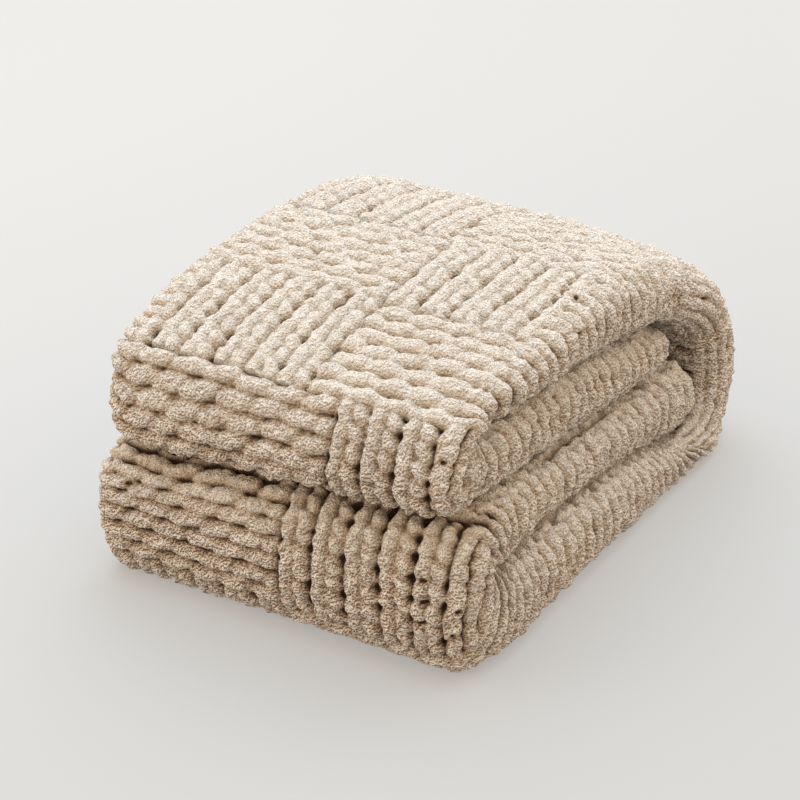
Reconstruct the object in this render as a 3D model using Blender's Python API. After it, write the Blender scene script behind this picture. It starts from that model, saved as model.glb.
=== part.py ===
"""A chunky knit blanket, folded: quartered to a long band, ends turned in, then doubled over.

The band of cloth is one closed body. Its section runs back and forth in the YZ plane: the upper
tongue, the upper roll at the front, the top ply, the spine at the back, the bottom ply, the lower
roll at the front and the lower tongue. X runs along the folds, and the band's long edges are round.
The knit is raised in the points: blocks of upright columns and blocks of ridges in a basket weave,
with ribs that wrap round both long edges.
"""

import math
from collections import namedtuple

import bpy
import numpy as np

# Metres, +Z up, origin on the floor under the middle of the box, and the tables are in millimetres
MM = 0.001
COLUMN_PITCH = 0.033  # one knit stitch across, two legs of yarn
RIDGE_PITCH = 0.0185  # one row of purl bumps
EDGE_RIB = 0.0176  # pitch of the ribs that wrap round a long edge
GROOVE = 0.0050  # how deep the valleys between the columns and ridges lie
EDGE_GROOVE = 0.0042  # the same on a long edge
CROWN_POWER = 0.7  # under 1 the crowns are broad and the valleys narrow
EDGE_TURN = 3.0  # the face's knit gives way to the edge's over the first third of the edge
INNER_FADE = 6.0  # the knit fades away as the edge turns into the inner face
FIRST_ROPE = 0.009  # how far round the right edge the first lengthwise valley lies
EDGE_POWER = 0.85  # under 1 the round edge is squared a little
TIP_REACH = 0.030  # how far a tongue's end is rounded
TIP_DRAW_IN = 0.020  # how far its corners are drawn in
LEAST_TIP = 0.10  # what is left of the thickness at the very end
PRESSED = 0.006  # the floor presses the knit smooth up to here

# The seam between the rolls lies lower at the left: its height, how far up and down that is felt, how far
# back, how much it falls over a length in X and the X where it keeps its height
Seam = namedtuple("Seam", "height reach back fall over level_at")
SEAM = Seam(0.150, 0.050, 0.300, 0.010, 0.200, 0.110)
# The top ply hangs at its back right corner: by how much, and where that starts and how far it builds up
Droop = namedtuple("Droop", "fall x x_reach y y_reach z z_reach")
DROOP = Droop(0.020, 0.010, 0.180, -0.020, 0.200, 0.120, 0.120)

# Steps of the fine surface that the body is thinned from, and what it is thinned to
STEP_ALONG = 0.0046
STEPS_ACROSS = 190
CURVE_STEPS = 24
MOST_TRIANGLES = 11400

CREAM = (0.62, 0.52, 0.40)
MATT = 0.95

# One ply of the band: how far its long edges reach in X, and how far in the round edge starts
Ply = namedtuple("Ply", "name left right edge stations")
# One place along a ply: where its outer face and its inner face lie in the YZ plane
Station = namedtuple("Station", "outer_y outer_z inner_y inner_z")

BAND = (
    Ply("upper tongue", -173, 184, 32, (
        Station(148, 134, 148, 168),
        Station(85, 127, 85, 185),
        Station(0, 134, 0, 196),
        Station(-80, 139, -80, 207),
        Station(-160, 146, -160, 211),
    )),
    Ply("upper roll", -178, 178, 32, (
        Station(-220, 147, -214, 211.0),
        Station(-262, 153, -221, 211.8),
        Station(-278, 176, -223, 212.8),
        Station(-271, 208, -223, 213.8),
        Station(-254, 237, -221, 214.8),
        Station(-210, 252, -205, 215.8),
    )),
    Ply("top ply", -183, 191, 42, (
        Station(-150, 264, -150, 216),
        Station(-70, 270, -70, 211),
        Station(10, 271, 10, 200),
        Station(90, 263, 80, 191),
        Station(160, 242, 125, 182),
    )),
    Ply("spine", -193, 196, 44, (
        Station(215, 207, 160, 165),
        Station(253, 163, 187, 140),
        Station(275, 110, 206, 105),
        Station(278, 60, 208, 72),
        Station(267, 20, 192, 47),
    )),
    Ply("bottom ply", -201, 201, 27, (
        Station(232, 0, 165, 38.5),
        Station(170, 0, 130, 46),
        Station(90, 0, 80, 58.5),
        Station(20, 0, 20, 71),
        Station(-60, 0, -60, 77),
        Station(-140, 0, -140, 79),
        Station(-215, 0, -195, 79),
    )),
    Ply("lower roll", -198, 193, 29, (
        Station(-256, 3, -204.5, 79.5),
        Station(-274, 30, -207.5, 80.5),
        Station(-278, 80, -208, 81.5),
        Station(-266, 124, -206.5, 82.5),
        Station(-235, 143, -203, 83.2),
        Station(-185, 145, -188, 83.5),
    )),
    Ply("lower tongue", -194, 191, 30, (
        Station(-120, 138.5, -120, 83),
        Station(-50, 131.5, -50, 81.5),
        Station(20, 127, 20, 75),
        Station(80, 121, 80, 63),
        Station(130, 121, 130, 50.5),
        Station(165, 117, 165, 47),
        Station(190, 92, 190, 60),
    )),
)

# One row of the basket weave: how far along the outer face it starts, in metres, the X of the line
# between its two blocks, and whether the left block has upright columns
Row = namedtuple("Row", "starts line left_upright")

WEAVE = (
    Row(0.000, 0.049, True),
    Row(0.125, 0.051, False),
    Row(0.252, 0.053, True),
    Row(0.382, 0.055, False),
    Row(0.512, 0.022, True),
    Row(0.645, 0.019, False),
    Row(0.775, 0.011, True),
    Row(0.905, 0.009, False),
    Row(1.035, 0.007, True),
    Row(1.165, 0.007, False),
    Row(1.295, 0.007, True),
    Row(1.760, 0.005, False),
    Row(1.895, 0.005, True),
    Row(2.030, 0.005, False),
    Row(2.160, 0.005, True),
)

# Stretches of the right edge where the ribs run along the band instead, in metres along the outer face
Lengthwise = namedtuple("Lengthwise", "starts ends pitch")
LENGTHWISE = (
    Lengthwise(0.400, 0.530, 0.0210),
    Lengthwise(0.935, 1.085, 0.0165),
    Lengthwise(1.085, 1.250, 0.0170),
    Lengthwise(1.250, 1.400, 0.0190),
    Lengthwise(1.745, 1.900, 0.0210),
)


def through(knots, per_span):
    """A smooth centripetal curve through rows of knots, sampled per_span times in each span."""
    ends = np.vstack([2 * knots[0] - knots[1], knots, 2 * knots[-1] - knots[-2]])
    spans = np.linalg.norm(np.diff(ends[:, :4], axis=0), axis=1) ** 0.5
    at = np.concatenate([[0.0], np.cumsum(spans)])

    def mix(a, b, first, last, u):
        return ((at[last] - u) * a + (u - at[first]) * b) / (at[last] - at[first])

    rows = []
    for i in range(1, len(ends) - 2):
        u = np.linspace(at[i], at[i + 1], per_span, endpoint=False)[:, None]
        near = mix(ends[i - 1], ends[i], i - 1, i, u)
        here = mix(ends[i], ends[i + 1], i, i + 1, u)
        away = mix(ends[i + 1], ends[i + 2], i + 1, i + 2, u)
        before = mix(near, here, i - 1, i + 1, u)
        after = mix(here, away, i, i + 2, u)
        rows.append(mix(before, after, i, i + 1, u))
    rows.append(ends[-2][None])
    return np.vstack(rows)


def band_line():
    """Rows of outer y and z, inner y and z, left, right and edge, and the outer face's length to each."""
    knots = []
    for ply in BAND:
        for station in ply.stations:
            knots.append((*station, ply.left, ply.right, ply.edge))
    rows = through(np.array(knots) * MM, CURVE_STEPS)
    steps = np.linalg.norm(np.diff(rows[:, :2], axis=0), axis=1)
    length = np.concatenate([[0.0], np.cumsum(steps)])
    along = np.linspace(0.0, length[-1], round(length[-1] / STEP_ALONG))
    columns = [np.interp(along, length, rows[:, k]) for k in range(rows.shape[1])]
    return along, np.stack(columns, axis=1)


def rounded(value):
    """Squares the round edge a little: an edge of piled yarn is fuller than a half circle."""
    return np.sign(value) * np.abs(value) ** EDGE_POWER


def ring(row, fullness):
    """One loop round the band: its points, how far each is out from the middle of the cloth (-1 to 1),
    how far into the round edge it is (0 to 1) and how far round the right edge, in metres."""
    outer, inner = row[:2], row[2:4]
    half = (outer - inner) / 2 * fullness
    left = row[4] + TIP_DRAW_IN * (1 - fullness)
    right = row[5] - TIP_DRAW_IN * (1 - fullness)
    edge = row[6]
    flat = (right - left) / 2 - edge
    arc = math.pi / 2 * (edge + np.linalg.norm(half))
    d = np.linspace(0.0, 4 * flat + 2 * arc, STEPS_ACROSS, endpoint=False)
    right_turn = (d - 2 * flat) / arc * math.pi
    left_turn = (d - 4 * flat - arc) / arc * math.pi
    parts = [d < 2 * flat, d < 2 * flat + arc, d < 4 * flat + arc]
    x = np.select(
        parts,
        [d - flat, flat + edge * rounded(np.sin(right_turn)), 3 * flat + arc - d],
        -flat - edge * rounded(np.sin(left_turn)),
    )
    out = np.select(
        parts,
        [np.ones_like(d), rounded(np.cos(right_turn)), -np.ones_like(d)],
        -rounded(np.cos(left_turn)),
    )
    points = np.empty((STEPS_ACROSS, 3))
    points[:, 0] = (left + right) / 2 + x
    points[:, 1:] = (outer + inner) / 2 + half * out[:, None]
    return points, out, np.clip((np.abs(x) - flat) / edge, 0, 1), np.clip(d - 2 * flat, 0, arc)


def settled(points):
    """The uneven lie of the pile: the seam dips to the left, the back right corner droops."""
    x, y, z = points[..., 0], points[..., 1], points[..., 2]
    at_seam = np.exp(-(((z - SEAM.height) / SEAM.reach) ** 2)) * np.clip(0.5 - y / SEAM.back, 0, 1)
    to_right = np.clip((x - DROOP.x) / DROOP.x_reach, 0, 1) ** 2
    to_back = np.clip((y - DROOP.y) / DROOP.y_reach, 0, 1)
    to_top = np.clip((z - DROOP.z) / DROOP.z_reach, 0, 1)
    risen = SEAM.fall * (x - SEAM.level_at) / SEAM.over * at_seam
    moved = points.copy()
    moved[..., 2] = z + risen - DROOP.fall * to_right * to_back * to_top
    return moved


def valley(distance, pitch):
    """0 on the crown of a rib and 1 in the valley beside it, for a place measured in metres."""
    return 1 - np.abs(np.sin(math.pi * distance / pitch)) ** CROWN_POWER


def knit_depth(along, x, out, edge_share, around):
    """How deep the knit lies under its crowns, at each point."""
    starts = np.array([row.starts for row in WEAVE])
    which = np.searchsorted(starts, along, side="right") - 1
    line = np.array([row.line for row in WEAVE])[which]
    left_upright = np.array([row.left_upright for row in WEAVE])[which]
    columns = valley(x - line, COLUMN_PITCH)
    ridges = valley(along - starts[which], RIDGE_PITCH)
    face = np.where((x < line) == left_upright, columns, ridges)
    ribs = valley(along, EDGE_RIB)
    for run in LENGTHWISE:
        there = (along >= run.starts) & (along < run.ends) & (x > 0)
        ribs = np.where(there, valley(around - FIRST_ROPE, run.pitch), ribs)
    to_edge = np.clip(edge_share * EDGE_TURN, 0, 1)
    outside = np.clip((out + 1) * INNER_FADE, 0, 1)
    return (GROOVE * face * (1 - to_edge) + EDGE_GROOVE * ribs * to_edge) * outside


def normals_of(grid):
    """Outward unit normals of the closed loops of points."""
    across = np.roll(grid, -1, axis=1) - np.roll(grid, 1, axis=1)
    along = np.gradient(grid, axis=0)
    normals = np.cross(across, along)
    size = np.linalg.norm(normals, axis=2, keepdims=True)
    return normals / np.maximum(size, 1e-12)


def blanket_points():
    """Loops of points round the band, from the upper tongue's end to the lower tongue's."""
    along, rows = band_line()
    from_end = np.minimum(along, along[-1] - along) / TIP_REACH
    fullness = np.sqrt(np.clip(1 - (1 - np.clip(from_end, 0, 1)) ** 2, 0, 1))
    fullness = np.maximum(fullness, LEAST_TIP)
    rings = [ring(row, full) for row, full in zip(rows, fullness)]
    points, out, edge_share, around = (np.stack(column) for column in zip(*rings))
    grid = settled(points)
    depth = knit_depth(along[:, None], grid[..., 0], out, edge_share, around)
    depth *= np.clip(from_end, 0, 1)[:, None]
    depth *= np.clip(grid[..., 2] / PRESSED, 0, 1)
    grid = grid - normals_of(grid) * depth[..., None]
    grid[..., 2] = np.maximum(grid[..., 2], 0.0)
    corners = grid.reshape(-1, 3)
    grid[..., :2] -= (corners.min(axis=0) + corners.max(axis=0))[:2] / 2
    return grid


def material(name, colour, roughness):
    made = bpy.data.materials.new(name)
    made.use_nodes = True
    shader = made.node_tree.nodes["Principled BSDF"]
    shader.inputs["Base Color"].default_value = (*colour, 1.0)
    shader.inputs["Roughness"].default_value = roughness
    shader.inputs["Metallic"].default_value = 0.0
    return made


def make_blanket():
    grid = blanket_points()
    loops, around = grid.shape[:2]
    faces = []
    for i in range(loops - 1):
        for j in range(around):
            k = (j + 1) % around
            first = i * around
            faces.append((first + j, first + k, first + around + k, first + around + j))
    faces.append(tuple(reversed(range(around))))
    faces.append(tuple((loops - 1) * around + j for j in range(around)))
    mesh = bpy.data.meshes.new("blanket")
    mesh.from_pydata(grid.reshape(-1, 3).tolist(), [], faces)
    mesh.materials.append(material("chenille", CREAM, MATT))
    mesh.shade_smooth()
    blanket = bpy.data.objects.new("blanket", mesh)
    bpy.context.scene.collection.objects.link(blanket)
    thin = blanket.modifiers.new("thin out", "DECIMATE")
    thin.use_collapse_triangulate = True
    triangles = 2 * (loops - 1) * around + 2 * (around - 2)
    thin.ratio = MOST_TRIANGLES / triangles
    return blanket


for thing in list(bpy.data.objects):
    bpy.data.objects.remove(thing)
make_blanket()
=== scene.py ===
"""Looks of the folded chunky knit blanket: its chenille yarn, the floor, the light and the camera.

The yarn lies on the same band of cloth as the solid. The band's section runs back and forth in the YZ
plane: the upper tongue, the upper roll at the front, the top ply, the spine at the back, the bottom
ply, the lower roll and the lower tongue. The skin of the band is cut into strips along its length, one
piece each, and on every strip the stitches of the basket weave are raised and the fluff is roughened.
"""

import math
from collections import namedtuple

import bpy
import numpy as np
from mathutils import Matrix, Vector


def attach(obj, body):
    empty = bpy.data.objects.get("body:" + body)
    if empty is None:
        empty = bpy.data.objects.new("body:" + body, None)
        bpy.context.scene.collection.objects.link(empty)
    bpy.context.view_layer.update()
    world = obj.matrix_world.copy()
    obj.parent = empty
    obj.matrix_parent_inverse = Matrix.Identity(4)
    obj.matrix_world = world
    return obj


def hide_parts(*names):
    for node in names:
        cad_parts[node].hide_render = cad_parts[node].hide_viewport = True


# Metres, +Z up, origin on the floor under the middle of the box, and the band's table is in millimetres
MM = 0.001
COLUMN_PITCH = 0.033  # one knit stitch across, two legs of yarn
RIDGE_PITCH = 0.0185  # one row of purl bumps
TIP_REACH = 0.030  # how far a tongue's end is rounded
TIP_DRAW_IN = 0.020  # how far its corners are drawn in
LEAST_TIP = 0.10  # what is left of the thickness at the very end
EDGE_POWER = 0.85  # under 1, the round edges are fuller than half circles
CURVE_STEPS = 24  # samples of the band's curve between two stations

# The seam between the rolls lies lower toward the left: its tilt over a run, the x that stays level, its
# height, how far above and below it the cloth follows, and how that fades toward the back
Seam = namedtuple("Seam", "tilt run level_x height reach front_share fade")
SEAM = Seam(tilt=0.010, run=0.20, level_x=0.11, height=0.150, reach=0.050, front_share=0.5, fade=0.30)
# The top ply hangs lower toward its back right corner: how far, and where that starts and over what run
Droop = namedtuple("Droop", "depth from_x over_x from_y over_y from_z over_z")
DROOP = Droop(depth=0.020, from_x=0.01, over_x=0.18, from_y=-0.02, over_y=0.20, from_z=0.12, over_z=0.12)

# One ply of the band: how far its long edges reach in X, and how far in the round edge starts
Ply = namedtuple("Ply", "name left right edge stations")
# One place along a ply: where its outer face and its inner face lie in the YZ plane
Station = namedtuple("Station", "outer_y outer_z inner_y inner_z")

BAND = (
    Ply("upper tongue", -173, 184, 32, (
        Station(148, 134, 148, 168),
        Station(85, 127, 85, 185),
        Station(0, 134, 0, 196),
        Station(-80, 139, -80, 207),
        Station(-160, 146, -160, 211),
    )),
    Ply("upper roll", -178, 178, 32, (
        Station(-220, 147, -214, 211.0),
        Station(-262, 153, -221, 211.8),
        Station(-278, 176, -223, 212.8),
        Station(-271, 208, -223, 213.8),
        Station(-254, 237, -221, 214.8),
        Station(-210, 252, -205, 215.8),
    )),
    Ply("top ply", -183, 191, 42, (
        Station(-150, 264, -150, 216),
        Station(-70, 270, -70, 211),
        Station(10, 271, 10, 200),
        Station(90, 263, 80, 191),
        Station(160, 242, 125, 182),
    )),
    Ply("spine", -193, 196, 44, (
        Station(215, 207, 160, 165),
        Station(253, 163, 187, 140),
        Station(275, 110, 206, 105),
        Station(278, 60, 208, 72),
        Station(267, 20, 192, 47),
    )),
    Ply("bottom ply", -201, 201, 27, (
        Station(232, 0, 165, 38.5),
        Station(170, 0, 130, 46),
        Station(90, 0, 80, 58.5),
        Station(20, 0, 20, 71),
        Station(-60, 0, -60, 77),
        Station(-140, 0, -140, 79),
        Station(-215, 0, -195, 79),
    )),
    Ply("lower roll", -198, 193, 29, (
        Station(-256, 3, -204.5, 79.5),
        Station(-274, 30, -207.5, 80.5),
        Station(-278, 80, -208, 81.5),
        Station(-266, 124, -206.5, 82.5),
        Station(-235, 143, -203, 83.2),
        Station(-185, 145, -188, 83.5),
    )),
    Ply("lower tongue", -194, 191, 30, (
        Station(-120, 138.5, -120, 83),
        Station(-50, 131.5, -50, 81.5),
        Station(20, 127, 20, 75),
        Station(80, 121, 80, 63),
        Station(130, 121, 130, 50.5),
        Station(165, 117, 165, 47),
        Station(190, 92, 190, 60),
    )),
)

# One row of the basket weave: how far along the outer face it starts, in metres, the X of the line
# between its two blocks, and whether the left block has upright columns
Row = namedtuple("Row", "starts line left_upright")

WEAVE = (
    Row(0.000, 0.049, True),
    Row(0.125, 0.051, False),
    Row(0.252, 0.053, True),
    Row(0.382, 0.055, False),
    Row(0.512, 0.022, True),
    Row(0.645, 0.019, False),
    Row(0.775, 0.011, True),
    Row(0.905, 0.009, False),
    Row(1.035, 0.007, True),
    Row(1.165, 0.007, False),
    Row(1.295, 0.007, True),
    Row(1.760, 0.005, False),
    Row(1.895, 0.005, True),
    Row(2.030, 0.005, False),
    Row(2.160, 0.005, True),
)

# One strip of the skin: where along the outer face it starts and ends, in metres, and the size of its
# steps in millimetres: along the band, over the outer face, the right edge, the inner face, the left edge
Strip = namedtuple("Strip", "name starts ends along outer right inner left")

STRIPS = (
    Strip("upper_tongue", 0.000, 0.384, 1.9, 7.0, 1.6, 8.0, 2.4),
    Strip("upper_roll", 0.382, 0.580, 1.35, 1.35, 1.4, 7.0, 2.0),
    Strip("top_front", 0.578, 0.780, 1.35, 1.35, 1.4, 7.0, 2.0),
    Strip("top_back", 0.778, 0.985, 1.45, 1.45, 1.5, 7.0, 2.0),
    Strip("spine", 0.983, 1.350, 1.9, 1.9, 1.8, 7.0, 2.2),
    Strip("bottom", 1.348, 1.722, 1.9, 7.0, 1.7, 8.0, 2.2),
    Strip("lower_roll", 1.720, 1.930, 1.35, 1.35, 1.4, 7.0, 2.0),
    Strip("lower_tongue", 1.928, 9.999, 1.9, 7.0, 1.6, 8.0, 2.4),
)

# The steps are counted on a loop of these typical lengths: outer face, right edge, inner face, left edge
TYPICAL_SIDES = (0.300, 0.110, 0.300, 0.110)

# The yarn: how deep the valleys lie under the crowns, and how far the crowns stand off the solid
DEPTH = 0.0120
STAND_OFF = 0.0015
LEAST_RELIEF = 0.25  # what is left of the relief at a tongue's very end
INNER_RELIEF = 0.5  # and on the inner faces
EDGE_RIB = 0.0176  # pitch of the ribs that wrap round a long edge
EDGE_LUMP = 0.036  # length of the lumps on those ribs
EDGE_ARC = 0.007  # how far those ribs bow towards the back
EDGE_TURN = 3.4  # how quickly the face's stitches give way to the edge's ribs, and from where
EDGE_START = 0.9
PRESSED = 0.005  # the floor presses the yarn smooth up to here
PLUMPNESS = 0.50  # 0.5 makes a strand's section round
BLOCK_LINE = 0.006  # the purl rows sink toward the line between two blocks, over this width
BLOCK_SHARE = 0.72  # to this share of their height

# How the bumps of yarn vary, as shares: how far they slip, their tilt and its spread, how square their ends
# are, how high they stand and the spread of that, and how much higher one end is than the middle
Bump = namedtuple("Bump", "slip_across slip_along tilt tilt_spread squareness full full_spread tuck")
PURL = Bump(0.16, 0.16, 0.16, 0.20, 2.8, 0.94, 0.14, 0.09)
KNIT = Bump(0.07, 0.16, 0.00, 0.14, 2.4, 0.94, 0.12, 0.08)
ROPE = Bump(0.20, 0.10, 0.00, 0.16, 2.6, 0.95, 0.14, 0.06)
PURL_HALF_LENGTH = 0.68 * COLUMN_PITCH
PURL_HALF_WIDTH = 0.528 * RIDGE_PITCH
PURL_BASE = 0.50  # a purl row is at least this high between its bumps
PURL_BASE_HALF = 0.505  # over this half width, in rows
ROPE_HALF_LENGTH = 0.80  # of a lump's length
ROPE_HALF_WIDTH = 0.55  # of the ropes' pitch
FIRST_ROPE = 0.009  # from the start of the edge to the middle of its first rope
ROPE_FADE = 0.02  # a lengthwise stretch comes and goes over this length

# Soft lumps in space: how high they are, their size and their seed
Lump = namedtuple("Lump", "height size seed")
WANDER_ACROSS = Lump(0.0030, 0.055, 21)  # the stitches stray from their lines
WANDER_ALONG = Lump(0.0034, 0.060, 22)
WEAR = Lump(1.6, 0.075, 23)  # where the edge's ribs are worn flatter
MEAN_WEAR = 0.75
LEAST_WORN = 0.80  # the share of their depth that stays there
SWELLS = Lump(0.0010, 0.0130, 31)  # the fluff, from its widest lumps to its finest
PUFFS = Lump(0.0026, 0.0082, 32)
MEAN_PUFF = 0.3
CLUMPS = Lump(0.0013, 0.0048, 33)
SPECKS = Lump(0.0007, 0.0031, 34)
RAGGED = Lump(0.5, 0.0045, 35)  # the outline of the dark holes

# Painted shade, from 0 to 1: more in the valleys of the edge, less on fluff that stands out and on upward
# faces, and more above and below the seam between the two rolls at the front
EDGE_SHADE = 0.15
FLUFF_SHADE = 80.0  # for each metre that the fluff stands out
UPWARD_SHADE = 0.74
SEAM_SHADE = 0.34
SHADE_HEIGHT = 0.142
SHADE_REACH = 0.012
SHADE_FROM_Y = -0.195
SHADE_FADE = 0.03
# The grain and the tufts' painted light and shade are strongest on the front, weaker on the sides and
# weakest on top, as the light falls from above
SIDE_GRAIN_AND_SHADING = 0.72
FRONT_GRAIN_AND_SHADING = 0.22

# A bump where the yarn curls at the right ends of the rolls: its place, its reach and how far it stands
Knob = namedtuple("Knob", "x y z reach rise")
KNOBS = (
    Knob(0.182, -0.234, 0.238, 0.0120, 0.0110),
    Knob(0.181, -0.232, 0.206, 0.0100, 0.0060),
    Knob(0.189, -0.256, 0.108, 0.0110, 0.0060),
    Knob(0.191, -0.244, 0.118, 0.0090, 0.0050),
    Knob(0.192, -0.240, 0.086, 0.0100, 0.0050),
    Knob(0.186, -0.268, 0.086, 0.0090, 0.0045),
)

# A hole where the stitches gape, dented in and darkened with painted shade: its place and its reach
Pit = namedtuple("Pit", "x y z reach")
PIT_DEPTH = 0.0060
PIT_SQUASH = np.array([1.0, 1.0, 1.5])  # a hole is wider than it is high
PITS = (
    Pit(0.155, -0.265, 0.116, 0.0044),
    Pit(0.150, -0.276, 0.098, 0.0048),
    Pit(0.186, -0.274, 0.100, 0.0046),
    Pit(0.184, -0.272, 0.076, 0.0044),
    Pit(0.150, -0.278, 0.077, 0.0042),
    Pit(0.149, -0.280, 0.057, 0.0046),
    Pit(0.178, -0.273, 0.049, 0.0044),
    Pit(0.149, -0.249, 0.232, 0.0046),
    Pit(0.164, -0.267, 0.212, 0.0044),
    Pit(0.163, -0.270, 0.189, 0.0040),
    Pit(0.166, -0.035, 0.271, 0.0042),
    Pit(0.190, -0.066, 0.252, 0.0050),
    Pit(-0.140, -0.242, 0.241, 0.0052),
    Pit(-0.157, -0.273, 0.103, 0.0052),
)

# Stretches of the right edge where the yarn runs along the band instead, lump by lump
Lengthwise = namedtuple("Lengthwise", "starts ends pitch lump fullness")
LENGTHWISE = (
    Lengthwise(0.400, 0.530, 0.0210, 0.0200, 0.0),
    Lengthwise(0.935, 1.085, 0.0165, 0.0340, 0.20),
    Lengthwise(1.085, 1.270, 0.0170, 0.0180, 0.20),
    Lengthwise(1.745, 1.900, 0.0210, 0.0190, 0.0),
)


def through(knots, per_span):
    """A smooth centripetal curve through rows of knots, sampled per_span times in each span."""
    ends = np.vstack([2 * knots[0] - knots[1], knots, 2 * knots[-1] - knots[-2]])
    spans = np.linalg.norm(np.diff(ends[:, :4], axis=0), axis=1) ** 0.5
    at = np.concatenate([[0.0], np.cumsum(spans)])

    def mix(a, b, first, last, u):
        return ((at[last] - u) * a + (u - at[first]) * b) / (at[last] - at[first])

    rows = []
    for i in range(1, len(ends) - 2):
        u = np.linspace(at[i], at[i + 1], per_span, endpoint=False)[:, None]
        near = mix(ends[i - 1], ends[i], i - 1, i, u)
        here = mix(ends[i], ends[i + 1], i, i + 1, u)
        away = mix(ends[i + 1], ends[i + 2], i + 1, i + 2, u)
        before = mix(near, here, i - 1, i + 1, u)
        after = mix(here, away, i, i + 2, u)
        rows.append(mix(before, after, i, i + 1, u))
    rows.append(ends[-2][None])
    return np.vstack(rows)


def band_line():
    """Rows of outer y and z, inner y and z, left, right and edge, and the outer face's length to each."""
    knots = []
    for ply in BAND:
        for station in ply.stations:
            knots.append((*station, ply.left, ply.right, ply.edge))
    rows = through(np.array(knots) * MM, CURVE_STEPS)
    steps = np.linalg.norm(np.diff(rows[:, :2], axis=0), axis=1)
    return np.concatenate([[0.0], np.cumsum(steps)]), rows


def rounded(value):
    """Squares the round edge a little: an edge of piled yarn is fuller than a half circle."""
    return np.sign(value) * np.abs(value) ** EDGE_POWER


def smooth(value):
    """0 below 0, 1 above 1 and an even swing between."""
    value = np.clip(value, 0, 1)
    return value * value * (3 - 2 * value)


# Large uneven factors, so that the sine below looks random from one whole number to the next
SEED_FACTOR = 37.719
CELL_FACTORS = (127.1, 311.7, 74.7)
SPREAD = 43758.5453
CELL_SHIFT = 100.0  # keeps the lumps' cells away from zero


def scatter(seed, *cells):
    """An even pseudo-random number from 0 to 1 for each whole-number cell."""
    mixed = seed * SEED_FACTOR
    for cell, factor in zip(cells, CELL_FACTORS):
        mixed = mixed + cell * factor
    mixed = np.sin(mixed) * SPREAD
    return mixed - np.floor(mixed)


def lumps(points, lump):
    """Soft lumps of about that size in space, from minus to plus their height."""
    scaled = points / lump.size + CELL_SHIFT
    cell = np.floor(scaled)
    inside = smooth(scaled - cell)
    total = 0.0
    for corner in range(8):
        bits = np.array([corner & 1, corner >> 1 & 1, corner >> 2 & 1])
        weight = np.prod(np.where(bits, inside, 1 - inside), axis=-1)
        here = cell + bits
        total = total + weight * scatter(lump.seed, here[..., 0], here[..., 1], here[..., 2])
    return lump.height * (2 * total - 1)


def plump(left_over):
    """The height of a round strand where that much of its half width squared is left over."""
    return np.clip(left_over, 0, 1) ** PLUMPNESS


def strand(across, along, half_length, half_width, tilt, squareness):
    """A short plump strand lying along `across`: 1 on its crown, 0 outside, and how far along it is."""
    turned = across * np.cos(tilt) + along * np.sin(tilt)
    aside = -across * np.sin(tilt) + along * np.cos(tilt)
    share = turned / half_length
    return plump(1 - np.abs(share) ** squareness - (aside / half_width) ** 2), np.clip(share, -1, 1)


def purl(across, along):
    """Rows of overlapping lozenges, laid like bricks, each tucked under the next."""
    top = np.zeros_like(across)
    for row_off in (-1, 0, 1):
        row = np.floor(along / RIDGE_PITCH) + row_off
        stagger = 0.5 * (row % 2)
        for bump_off in (-1, 0, 1):
            bump = np.floor(across / COLUMN_PITCH - stagger) + bump_off
            slip = scatter(1, bump, row) - 0.5
            middle = (bump + 0.5 + stagger + PURL.slip_across * slip) * COLUMN_PITCH
            height = (row + 0.5 + PURL.slip_along * (scatter(2, bump, row) - 0.5)) * RIDGE_PITCH
            tilt = PURL.tilt + PURL.tilt_spread * (scatter(3, bump, row) - 0.5)
            body, share = strand(
                across - middle, along - height, PURL_HALF_LENGTH, PURL_HALF_WIDTH, tilt, PURL.squareness
            )
            full = PURL.full + PURL.full_spread * (scatter(4, bump, row) - 0.5)
            top = np.maximum(top, body * (full + PURL.tuck * share))
    in_row = along / RIDGE_PITCH - np.floor(along / RIDGE_PITCH) - 0.5
    return np.maximum(top, PURL_BASE * plump(1 - (in_row / PURL_BASE_HALF) ** 2))


# One leg of the knit stitch: where its middle is across the column, its lean, and how long and wide it is
Leg = namedtuple("Leg", "middle lean half_length half_width")
LEGS = (
    Leg(0.27, 0.10, 1.20 * RIDGE_PITCH, 0.258 * COLUMN_PITCH),
    Leg(0.74, -0.42, 0.72 * RIDGE_PITCH, 0.250 * COLUMN_PITCH),
)
HOLE = 0.0042  # size of the dark holes between the stitches, and how deep they are as a share
HOLE_DEPTH = 0.7
HOLE_RATE = 2.0  # a hole is as deep as its chance from 0 to 1, times this and less the next
HOLE_MISS = 0.4
BETWEEN_COLUMNS = 0.30  # the valley between two columns comes up to here
BETWEEN_LEGS = 0.18  # and that between a column's two legs comes up so much more
LEGS_HALF = 0.43  # over this half width, in columns


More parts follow.
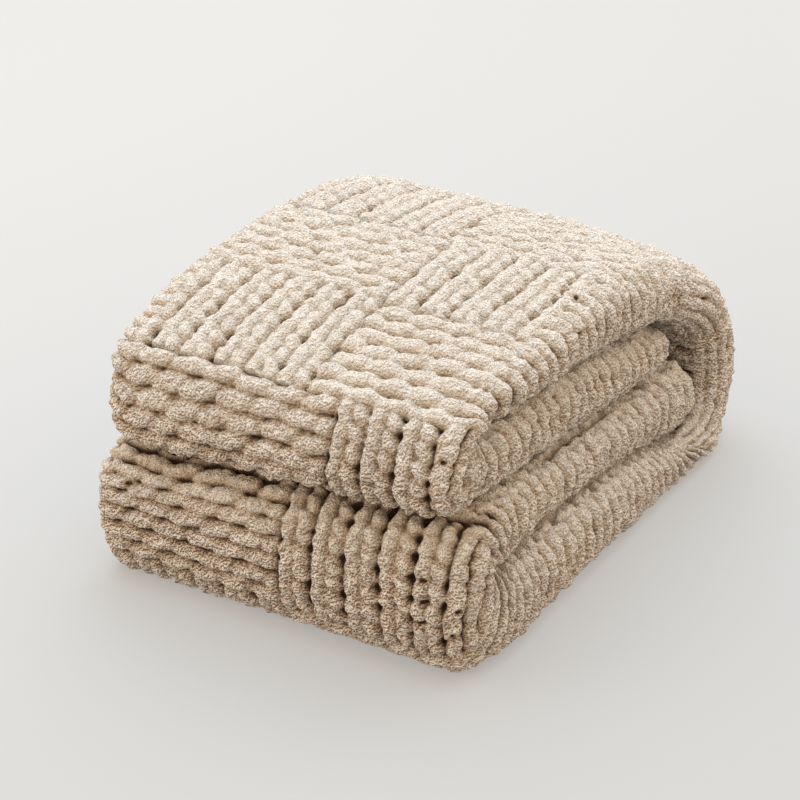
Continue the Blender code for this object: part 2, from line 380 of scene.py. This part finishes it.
def knit(across, along):
    """Upright columns, each of a smooth left leg and a lumpier right leg of slanting stitches."""
    top = np.zeros_like(across)
    for column_off in (-1, 0, 1):
        column = np.floor(across / COLUMN_PITCH) + column_off
        for which, leg in enumerate(LEGS):
            for stitch_off in (-1, 0, 1):
                stitch = np.floor(along / RIDGE_PITCH) + stitch_off
                slip = scatter(5 + which, column, stitch) - 0.5
                middle = (column + leg.middle + KNIT.slip_across * slip) * COLUMN_PITCH
                height = (stitch + 0.5 + KNIT.slip_along * slip) * RIDGE_PITCH
                lean = leg.lean + KNIT.tilt_spread * (scatter(7 + which, column, stitch) - 0.5)
                aside, up = across - middle, along - height
                body, share = strand(up, aside, leg.half_length, leg.half_width, lean, KNIT.squareness)
                full = KNIT.full + KNIT.full_spread * (scatter(9 + which, column, stitch) - 0.5)
                top = np.maximum(top, body * (full + KNIT.tuck * share))
    in_column = across / COLUMN_PITCH - np.floor(across / COLUMN_PITCH) - 0.5
    top = np.maximum(top, BETWEEN_COLUMNS + BETWEEN_LEGS * plump(1 - (in_column / LEGS_HALF) ** 4))
    aside = across - np.round(across / COLUMN_PITCH) * COLUMN_PITCH
    between = along - np.round(along / RIDGE_PITCH) * RIDGE_PITCH
    hole = np.exp(-((aside / HOLE) ** 2) - (between / HOLE) ** 2)
    chance = scatter(13, np.round(across / COLUMN_PITCH), np.round(along / RIDGE_PITCH))
    return top - HOLE_DEPTH * hole * smooth(chance * HOLE_RATE - HOLE_MISS)


def ropes(across, along, pitch, lump):
    """Plump ropes running along `across`, side by side at a pitch, with lumps on them."""
    top = np.zeros_like(across)
    for rope_off in (-1, 0, 1):
        rope = np.floor(along / pitch) + rope_off
        stagger = scatter(11, rope)
        for bump_off in (-1, 0, 1):
            bump = np.floor(across / lump - stagger) + bump_off
            slip = scatter(12, rope, bump) - 0.5
            middle = (bump + 0.5 + stagger + ROPE.slip_across * slip) * lump
            height = (rope + 0.5 + ROPE.slip_along * slip) * pitch
            half_length, half_width = ROPE_HALF_LENGTH * lump, ROPE_HALF_WIDTH * pitch
            tilt = ROPE.tilt_spread * slip
            body, share = strand(
                across - middle, along - height, half_length, half_width, tilt, ROPE.squareness
            )
            top = np.maximum(top, body * (ROPE.full + ROPE.full_spread * slip + ROPE.tuck * share))
    return top


def places_across(strip):
    """Which side of the loop each point is on, and how far along that side it is from 0 to 1."""
    sides, shares = [], []
    steps = (strip.outer, strip.right, strip.inner, strip.left)
    for side, (length, step) in enumerate(zip(TYPICAL_SIDES, steps)):
        count = round(length / (step * MM))
        sides.append(np.full(count, side))
        shares.append(np.arange(count) / count)
    return np.concatenate(sides), np.concatenate(shares)


Skin = namedtuple("Skin", "points along x edge_share around arc toward_back inside")


def bare_skin(strip, length, rows):
    """The strip's smooth skin: its points and what the stitches need to know at each."""
    ends = min(strip.ends, length[-1])
    along = np.linspace(strip.starts, ends, round((ends - strip.starts) / (strip.along * MM)) + 1)
    at = [np.interp(along, length, rows[:, k])[:, None] for k in range(rows.shape[1])]
    outer_y, outer_z, inner_y, inner_z, left, right, edge = at
    from_end = np.minimum(along, length[-1] - along)[:, None] / TIP_REACH
    fullness = np.sqrt(np.clip(1 - (1 - np.clip(from_end, 0, 1)) ** 2, 0, 1))
    fullness = np.maximum(fullness, LEAST_TIP)
    half_y = (outer_y - inner_y) / 2 * fullness
    half_z = (outer_z - inner_z) / 2 * fullness
    left = left + TIP_DRAW_IN * (1 - fullness)
    right = right - TIP_DRAW_IN * (1 - fullness)
    flat = (right - left) / 2 - edge
    arc = math.pi / 2 * (edge + np.hypot(half_y, half_z))
    side, share = places_across(strip)
    turn = math.pi * share
    x = np.select(
        [side == 0, side == 1, side == 2],
        [flat * (2 * share - 1), flat + edge * rounded(np.sin(turn)), flat * (1 - 2 * share)],
        -flat - edge * rounded(np.sin(turn)),
    )
    out = np.select(
        [side == 0, side == 1, side == 2],
        [np.ones_like(turn), rounded(np.cos(turn)), -np.ones_like(turn)],
        -rounded(np.cos(turn)),
    )
    around = np.select(
        [side == 0, side == 1, side == 2],
        [0 * arc * share, arc * share, arc + 0 * share],
        arc * (1 - share),
    )
    points = np.stack(
        [
            (left + right) / 2 + x,
            (outer_y + inner_y) / 2 + half_y * out,
            (outer_z + inner_z) / 2 + half_z * out,
        ],
        axis=-1,
    )
    edge_share = np.clip((np.abs(x) - flat) / edge, 0, 1)
    toward_back = np.gradient(at[0][:, 0], along)[:, None] + 0 * x
    inside = (side == 2) + 0 * x
    return Skin(points, along[:, None] + 0 * x, x, edge_share, around, arc, toward_back, inside)


def seam_rise(x):
    """How much higher than at its level place the seam between the rolls lies there."""
    return SEAM.tilt * (x - SEAM.level_x) / SEAM.run


def settled(points):
    """The uneven lie of the pile: the seam dips to the left, the back right corner droops."""
    x, y, z = points[..., 0], points[..., 1], points[..., 2]
    near_seam = np.exp(-(((z - SEAM.height) / SEAM.reach) ** 2))
    near_seam = near_seam * np.clip(SEAM.front_share - y / SEAM.fade, 0, 1)
    to_right = np.clip((x - DROOP.from_x) / DROOP.over_x, 0, 1) ** 2
    to_back = np.clip((y - DROOP.from_y) / DROOP.over_y, 0, 1)
    to_top = np.clip((z - DROOP.from_z) / DROOP.over_z, 0, 1)
    moved = points.copy()
    moved[..., 2] = z + seam_rise(x) * near_seam - DROOP.depth * to_right * to_back * to_top
    return moved


def normals_of(grid):
    """Outward unit normals of the loops of points."""
    across = np.roll(grid, -1, axis=1) - np.roll(grid, 1, axis=1)
    along = np.gradient(grid, axis=0)
    normals = np.cross(across, along)
    size = np.linalg.norm(normals, axis=2, keepdims=True)
    return normals / np.maximum(size, 1e-12)


def stitches(skin, points):
    """How high the yarn stands at each point, from 0 in the valleys to 1 on the crowns."""
    starts = np.array([row.starts for row in WEAVE])
    lines = np.array([row.line for row in WEAVE])
    uprights = np.array([row.left_upright for row in WEAVE])
    x = points[..., 0] + lumps(points, WANDER_ACROSS)
    along = skin.along + lumps(points, WANDER_ALONG)
    which = np.clip(np.searchsorted(starts, along, side="right") - 1, 0, None)
    across = x - lines[which]
    rows_on = along - starts[which]
    upright = (across < 0) == uprights[which]
    off_line = smooth(np.abs(across) / BLOCK_LINE)
    ridges = purl(across, rows_on) * (BLOCK_SHARE + (1 - BLOCK_SHARE) * off_line)
    face = np.where(upright, knit(across, rows_on), ridges)

    bow = EDGE_ARC * np.sin(math.pi * skin.around / skin.arc) * np.clip(skin.toward_back, -1, 1)
    rim = ropes(skin.around, along - bow, EDGE_RIB, EDGE_LUMP)
    for run in LENGTHWISE:
        there = smooth((along - run.starts) / ROPE_FADE) * smooth((run.ends - along) / ROPE_FADE)
        there = there * (skin.x > 0)
        if there.any():
            beside = ropes(along, skin.around - FIRST_ROPE, run.pitch, run.lump)
            beside = 1 - (1 - beside) * (1 - run.fullness)
            rim = rim * (1 - there) + beside * there
    fresh = smooth(MEAN_WEAR + lumps(points, WEAR))
    rim = 1 - (1 - rim) * (LEAST_WORN + (1 - LEAST_WORN) * fresh)
    to_edge = smooth(skin.edge_share * EDGE_TURN - EDGE_START)
    return face * (1 - to_edge) + rim * to_edge, to_edge


def fluff(points):
    """The roughness of the pile, in metres: round puffs with creases between them."""
    puffs = np.abs(lumps(points, PUFFS)) - PUFFS.height * MEAN_PUFF
    return lumps(points, SWELLS) + puffs + lumps(points, CLUMPS) + lumps(points, SPECKS)


def curled(points):
    """How far the curled bumps stand out at each point, in metres."""
    rise = 0.0
    for knob in KNOBS:
        away = np.linalg.norm(points - np.array([knob.x, knob.y, knob.z]), axis=-1)
        rise = rise + knob.rise * np.exp(-((away / knob.reach) ** 2))
    return rise


def gaping(points):
    """How much of a ragged hole there is at each point, from 0 to 1, for its dent and its painted shade."""
    share = np.zeros(points.shape[:-1])
    ragged = 1 + lumps(points, RAGGED)
    for pit in PITS:
        aside = (points - np.array([pit.x, pit.y, pit.z])) * PIT_SQUASH
        away = np.linalg.norm(aside, axis=-1) * ragged
        share = np.maximum(share, np.exp(-((away / pit.reach) ** 2)))
    return share


def seam_shade(points):
    """How far the yarn lies in the shade of the seam between the two rolls, from 0 to 1."""
    x, y, z = points[..., 0], points[..., 1], points[..., 2]
    above = z - SHADE_HEIGHT - seam_rise(x)
    return np.exp(-((above / SHADE_REACH) ** 2)) * smooth((SHADE_FROM_Y - y) / SHADE_FADE)


def loop_faces(loops, around, closed_start, closed_end):
    """The quads between loops of points, with a cap where an end is closed."""
    first = np.arange(loops - 1)[:, None] * around
    here = np.arange(around)[None, :]
    after = (here + 1) % around
    quads = np.stack(
        [first + here, first + after, first + around + after, first + around + here], axis=-1
    )
    faces = quads.reshape(-1, 4).tolist()
    if closed_start:
        faces.append(list(range(around))[::-1])
    if closed_end:
        faces.append([(loops - 1) * around + k for k in range(around)])
    return faces


def skin_mesh(strip, length, rows, middle, material):
    skin = bare_skin(strip, length, rows)
    bare = settled(skin.points)
    facing_out = normals_of(bare)
    height, to_edge = stitches(skin, bare)
    from_tip = np.minimum(skin.along, length[-1] - skin.along) / TIP_REACH
    off_floor = np.clip(bare[..., 2] / PRESSED, 0, 1)
    rise = STAND_OFF - DEPTH * (1 - height) * (1 - skin.inside * (1 - INNER_RELIEF))
    rise = rise * np.clip(from_tip, LEAST_RELIEF, 1)
    rough = fluff(bare)
    gap = gaping(bare)
    lift = (rise + rough + curled(bare) - PIT_DEPTH * gap) * off_floor
    grid = bare + facing_out * lift[..., None]
    grid[..., :2] -= middle
    grid[..., 2] = np.maximum(grid[..., 2], 0.0)

    frontal = np.clip(-facing_out[..., 1], 0, 1)
    sideways = 1 - np.clip(facing_out[..., 2], 0, 1)
    # Painted shade on the points: more in the valleys, in the holes and beside the seam between the rolls,
    # less on fluff that stands out and on upward faces
    shaded = np.clip((1 - height) * (1 + EDGE_SHADE * to_edge) - FLUFF_SHADE * rough, 0, 1)
    shaded = shaded * (UPWARD_SHADE + (1 - UPWARD_SHADE) * sideways) + SEAM_SHADE * seam_shade(bare)
    # Painted shade in the holes where the stitches gape
    shaded = np.clip(np.maximum(shaded, gap), 0, 1)
    # How strong the tufts' painted light and shade are, by how the face turns from the light above
    grain_and_shading = sideways * (SIDE_GRAIN_AND_SHADING + FRONT_GRAIN_AND_SHADING * frontal)

    mesh = bpy.data.meshes.new(strip.name)
    faces = loop_faces(*grid.shape[:2], strip is STRIPS[0], strip is STRIPS[-1])
    mesh.from_pydata(grid.reshape(-1, 3).tolist(), [], faces)
    mesh.materials.append(material)
    mesh.shade_smooth()
    for name, values in (("painted_shade", shaded), ("grain_and_shading", grain_and_shading)):
        painted = mesh.attributes.new(name, "FLOAT", "POINT")
        painted.data.foreach_set("value", values.astype(np.float32).ravel())
    piece = bpy.data.objects.new(strip.name, mesh)
    bpy.context.scene.collection.objects.link(piece)
    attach(piece, "root")
    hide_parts("blanket")
    return piece


def linear(*values):
    """A colour from 0 to 255 as the shader's linear values, by the sRGB curve above its dark foot."""
    return tuple(((v / 255 + 0.055) / 1.055) ** 2.4 for v in values)


# The yarn's colour under its painted shade, by how much of that shade lies there, from the lit tips to the
# painted shade at the bottom of the valleys
Tone = namedtuple("Tone", "depth colour")
YARN_AND_SHADE_TONES = (
    Tone(0.16, linear(238, 227, 213)),
    Tone(0.50, linear(214, 192, 166)),
    Tone(0.78, linear(74, 46, 28)),
)

# The pile's grain: the size of its bits in metres, how fine and rough they are, how far aside it is
# compared with itself, as if lit from there, and how much the lit sides count
Grain = namedtuple("Grain", "size detail roughness aside lit")
TUFTS = Grain(0.0021, 1.3, 0.60, (-0.00042, 0.00030, 0.00085), 1.2)
TUFT_SHARE = 0.3  # how much a tuft's own height counts
TUFT_BUMP = 0.0060
ROUND_PUFFS = Grain(0.0056, 0.0, 0.50, (-0.0009, 0.0006, 0.0019), 0.35)
# The dark of the tufts: painted shade between them and on their sides away from the light
DARK_GRAIN_AND_SHADE = (0.27, 0.16, 0.09)
DARK_UNTIL = 0.02  # the tufts are dark with painted shade up to here, and pale with painted light from the next
PALE_FROM = 0.22
TOP_GRAIN_AND_SHADING = 0.29  # how strong the tufts and their painted light and shade are on top
CLOUD = 0.070  # size of the cloudy patches, where they start and end, and how dark and light they are
CLOUD_RANGE = (0.3, 0.7)
CLOUD_TONES = (0.96, 1.03)


def chenille():
    """Velvety yarn: pale tips, warm brown painted shade in the depths, clumped fluff with painted light and
    shade, and a soft sheen.
    """
    made = bpy.data.materials.new("chenille")
    made.use_nodes = True
    tree = made.node_tree
    nodes, links = tree.nodes, tree.links
    shader = nodes["Principled BSDF"]
    shader.inputs["Roughness"].default_value = 1.0
    shader.inputs["Specular IOR Level"].default_value = 0.10
    shader.inputs["Sheen Weight"].default_value = 0.15
    shader.inputs["Sheen Roughness"].default_value = 0.5
    shader.inputs["Sheen Tint"].default_value = (1.0, 0.92, 0.80, 1.0)
    place = nodes.new("ShaderNodeTexCoord")

    def noise(size, detail, roughness, aside):
        node = nodes.new("ShaderNodeTexNoise")
        node.inputs["Scale"].default_value = 1 / size
        node.inputs["Detail"].default_value = detail
        node.inputs["Roughness"].default_value = roughness
        shift = nodes.new("ShaderNodeVectorMath")
        shift.inputs[1].default_value = aside
        links.new(place.outputs["Object"], shift.inputs[0])
        links.new(shift.outputs["Vector"], node.inputs["Vector"])
        return node

    def math_of(operation, first, second):
        node = nodes.new("ShaderNodeMath")
        node.operation = operation
        for which, value in enumerate((first, second)):
            if isinstance(value, float):
                node.inputs[which].default_value = value
            else:
                links.new(value, node.inputs[which])
        return node.outputs["Value"]

    def lit_side(grain_and_shading):
        """The pile's height, and how much higher it is here than a little toward the light: painted light
        where it is higher, painted shade where it is lower.
        """
        here = noise(grain_and_shading.size, grain_and_shading.detail, grain_and_shading.roughness, (0.0, 0.0, 0.0)).outputs["Fac"]
        beyond = noise(grain_and_shading.size, grain_and_shading.detail, grain_and_shading.roughness, grain_and_shading.aside).outputs["Fac"]
        return here, math_of("MULTIPLY", math_of("SUBTRACT", here, beyond), grain_and_shading.lit)

    # The painted shade on the points turns the yarn from pale at its tips to warm brown in the valleys
    depth = nodes.new("ShaderNodeAttribute")
    depth.attribute_name = "painted_shade"
    shade_tone = nodes.new("ShaderNodeValToRGB")
    stops = shade_tone.color_ramp.elements
    stops.new(YARN_AND_SHADE_TONES[1].depth)
    for stop, row in zip(stops, YARN_AND_SHADE_TONES):
        stop.position = row.depth
        stop.color = (*row.colour, 1)
    links.new(depth.outputs["Fac"], shade_tone.inputs["Fac"])

    # The tufts' own height, with painted light on their sides toward the light and painted shade on the
    # others
    tufts, lit_tufts = lit_side(TUFTS)
    lit_puffs = lit_side(ROUND_PUFFS)[1]
    raised = math_of("ADD", math_of("MULTIPLY", tufts, TUFT_SHARE), lit_puffs)
    fluff_and_lit_sides = math_of("ADD", raised, lit_tufts)
    tuft_tone_and_shade = nodes.new("ShaderNodeValToRGB")
    tuft_tone_and_shade.color_ramp.elements[0].position = DARK_UNTIL
    tuft_tone_and_shade.color_ramp.elements[0].color = (*DARK_GRAIN_AND_SHADE, 1)
    tuft_tone_and_shade.color_ramp.elements[1].position = PALE_FROM
    tuft_tone_and_shade.color_ramp.elements[1].color = (1.0, 1.0, 1.0, 1)
    links.new(fluff_and_lit_sides, tuft_tone_and_shade.inputs["Fac"])
    # Less of the tufts' painted light and shade on top, more on the sides and most on the front
    strength = nodes.new("ShaderNodeAttribute")
    strength.attribute_name = "grain_and_shading"
    share = nodes.new("ShaderNodeMapRange")
    share.inputs["To Min"].default_value = TOP_GRAIN_AND_SHADING
    share.inputs["To Max"].default_value = 1.0
    links.new(strength.outputs["Fac"], share.inputs["Value"])
    tufts_and_shading = nodes.new("ShaderNodeMix")
    tufts_and_shading.data_type = "RGBA"
    tufts_and_shading.inputs["A"].default_value = (1.0, 1.0, 1.0, 1.0)
    links.new(share.outputs["Result"], tufts_and_shading.inputs["Factor"])
    links.new(tuft_tone_and_shade.outputs["Color"], tufts_and_shading.inputs["B"])
    clouds = noise(CLOUD, 2.0, 0.5, (0.0, 0.0, 0.0))
    cloud_tone = nodes.new("ShaderNodeMapRange")
    cloud_tone.inputs["From Min"].default_value, cloud_tone.inputs["From Max"].default_value = CLOUD_RANGE
    cloud_tone.inputs["To Min"].default_value, cloud_tone.inputs["To Max"].default_value = CLOUD_TONES
    links.new(clouds.outputs["Fac"], cloud_tone.inputs["Value"])
    both = nodes.new("ShaderNodeVectorMath")
    both.operation = "MULTIPLY"
    links.new(shade_tone.outputs["Color"], both.inputs[0])
    links.new(tufts_and_shading.outputs["Result"], both.inputs[1])
    shade = nodes.new("ShaderNodeVectorMath")
    shade.operation = "SCALE"
    links.new(both.outputs["Vector"], shade.inputs[0])
    links.new(cloud_tone.outputs["Result"], shade.inputs["Scale"])
    links.new(shade.outputs["Vector"], shader.inputs["Base Color"])

    bump = nodes.new("ShaderNodeBump")
    bump.inputs["Strength"].default_value = 1.0
    bump.inputs["Distance"].default_value = TUFT_BUMP
    links.new(tufts, bump.inputs["Height"])
    links.new(bump.outputs["Normal"], shader.inputs["Normal"])
    return made


# Painted shade on the ground where the light falls off, along a direction in the XY plane: from where to
# where it changes, and its two ends
Fall = namedtuple("Fall", "x y starts ends first last")
FLOOR_FALLS = (
    Fall(0.79, -0.61, -1.3, 0.7, 1.0, 0.90),
    Fall(0.862, 0.507, -0.55, 0.45, 1.04, 0.92),
)
PAPER = (0.294, 0.287, 0.274)
PAPER_GLOW = 0.315  # a little light of its own softens the shadows
FLOOR_REACH = 12.0

# A round lamp that faces the object: where it stands, in degrees and metres, and its size and light
Lamp = namedtuple("Lamp", "name azimuth elevation distance size watts colour")
LAMPS = (
    Lamp("over", -146, 76, 3.0, 3.6, 77, (0.44, 0.81, 1.20)),
    Lamp("left", -50, 12, 2.6, 2.2, 20, (0.94, 0.88, 0.88)),
    Lamp("back", -150, 48, 2.6, 2.2, 16, (1.0, 0.86, 0.86)),
    Lamp("right", 156, 24, 2.6, 2.2, 17, (0.94, 0.90, 0.92)),
)
LAMPS_FACE = Vector((0, 0, 0.12))
WORLD_COLOUR = (1.0, 0.86, 0.69)
WORLD_STRENGTH = 1.17

# The camera, matched to the photo's outline
CAMERA_FROM = (30.5, 28.5)
CAMERA_FACES = Vector((0.0142, -0.0563, 0.108))
CAMERA_DISTANCE = 2.40
CAMERA_LENS = 117.0
CAMERA_SHIFT = (-0.01875, 0.03125)


def floor_material():
    """A pale paper ground with painted shade where the light falls off: it darkens a little toward the near
    right and the right.
    """
    made = bpy.data.materials.new("floor")
    made.use_nodes = True
    nodes, links = made.node_tree.nodes, made.node_tree.links
    shader = nodes["Principled BSDF"]
    place = nodes.new("ShaderNodeTexCoord")
    colour = PAPER
    # Painted shade: the paper's colour darkens where the light falls off
    for fall in FLOOR_FALLS:
        reached = nodes.new("ShaderNodeVectorMath")
        reached.operation = "DOT_PRODUCT"
        reached.inputs[1].default_value = (fall.x, fall.y, 0.0)
        links.new(place.outputs["Object"], reached.inputs[0])
        shade_tone = nodes.new("ShaderNodeMapRange")
        shade_tone.inputs["From Min"].default_value = fall.starts
        shade_tone.inputs["From Max"].default_value = fall.ends
        shade_tone.inputs["To Min"].default_value = fall.first
        shade_tone.inputs["To Max"].default_value = fall.last
        links.new(reached.outputs["Value"], shade_tone.inputs["Value"])
        paper = nodes.new("ShaderNodeVectorMath")
        paper.operation = "SCALE"
        if colour is PAPER:
            paper.inputs[0].default_value = PAPER
        else:
            links.new(colour, paper.inputs[0])
        links.new(shade_tone.outputs["Result"], paper.inputs["Scale"])
        colour = paper.outputs["Vector"]
    links.new(colour, shader.inputs["Base Color"])
    shader.inputs["Roughness"].default_value = 0.9
    shader.inputs["Specular IOR Level"].default_value = 0.1
    shader.inputs["Emission Color"].default_value = (1.0, 0.99, 0.97, 1.0)
    shader.inputs["Emission Strength"].default_value = PAPER_GLOW
    return made


def add_floor():
    mesh = bpy.data.meshes.new("floor")
    far = FLOOR_REACH
    corners = [(-far, -far, 0), (far, -far, 0), (far, far, 0), (-far, far, 0)]
    mesh.from_pydata(corners, [], [(0, 1, 2, 3)])
    mesh.materials.append(floor_material())
    floor = bpy.data.objects.new("floor", mesh)
    bpy.context.scene.collection.objects.link(floor)


def facing(azimuth, elevation):
    """The way back from the object to a viewer or lamp there, in degrees."""
    a, e = math.radians(azimuth), math.radians(elevation)
    return Vector((math.sin(a) * math.cos(e), -math.cos(a) * math.cos(e), math.sin(e)))


def add_lamps():
    for row in LAMPS:
        lamp = bpy.data.lights.new(row.name, "AREA")
        lamp.shape = "DISK"
        lamp.size = row.size
        lamp.energy = row.watts
        lamp.color = row.colour
        made = bpy.data.objects.new(row.name, lamp)
        bpy.context.scene.collection.objects.link(made)
        back = facing(row.azimuth, row.elevation)
        made.location = LAMPS_FACE + back * row.distance
        made.rotation_euler = back.to_track_quat("Z", "Y").to_euler()


def add_world():
    world = bpy.data.worlds.new("studio")
    world.use_nodes = True
    background = world.node_tree.nodes["Background"]
    background.inputs["Color"].default_value = (*WORLD_COLOUR, 1.0)
    background.inputs["Strength"].default_value = WORLD_STRENGTH
    bpy.context.scene.world = world


def add_camera():
    camera = bpy.data.cameras.new("camera")
    camera.sensor_width = 36.0
    camera.lens = CAMERA_LENS
    camera.shift_x, camera.shift_y = CAMERA_SHIFT
    made = bpy.data.objects.new("camera", camera)
    bpy.context.scene.collection.objects.link(made)
    back = facing(*CAMERA_FROM)
    made.location = CAMERA_FACES + back * CAMERA_DISTANCE
    made.rotation_euler = back.to_track_quat("Z", "Y").to_euler()
    bpy.context.scene.camera = made


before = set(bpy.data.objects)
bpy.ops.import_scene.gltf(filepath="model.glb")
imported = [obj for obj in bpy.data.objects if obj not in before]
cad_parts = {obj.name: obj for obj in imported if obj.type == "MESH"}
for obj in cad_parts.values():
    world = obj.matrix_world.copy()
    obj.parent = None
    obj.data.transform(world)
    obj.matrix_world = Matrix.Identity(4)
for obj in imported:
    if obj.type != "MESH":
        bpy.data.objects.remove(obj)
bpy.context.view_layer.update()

length, rows = band_line()
yarn = chenille()
whole = np.vstack([settled(bare_skin(strip, length, rows).points).reshape(-1, 3) for strip in STRIPS])
middle = (whole.min(axis=0) + whole.max(axis=0))[:2] / 2
for strip in STRIPS:
    skin_mesh(strip, length, rows, middle, yarn)

add_floor()
add_world()
add_lamps()
add_camera()
bpy.context.scene.view_settings.view_transform = "Standard"
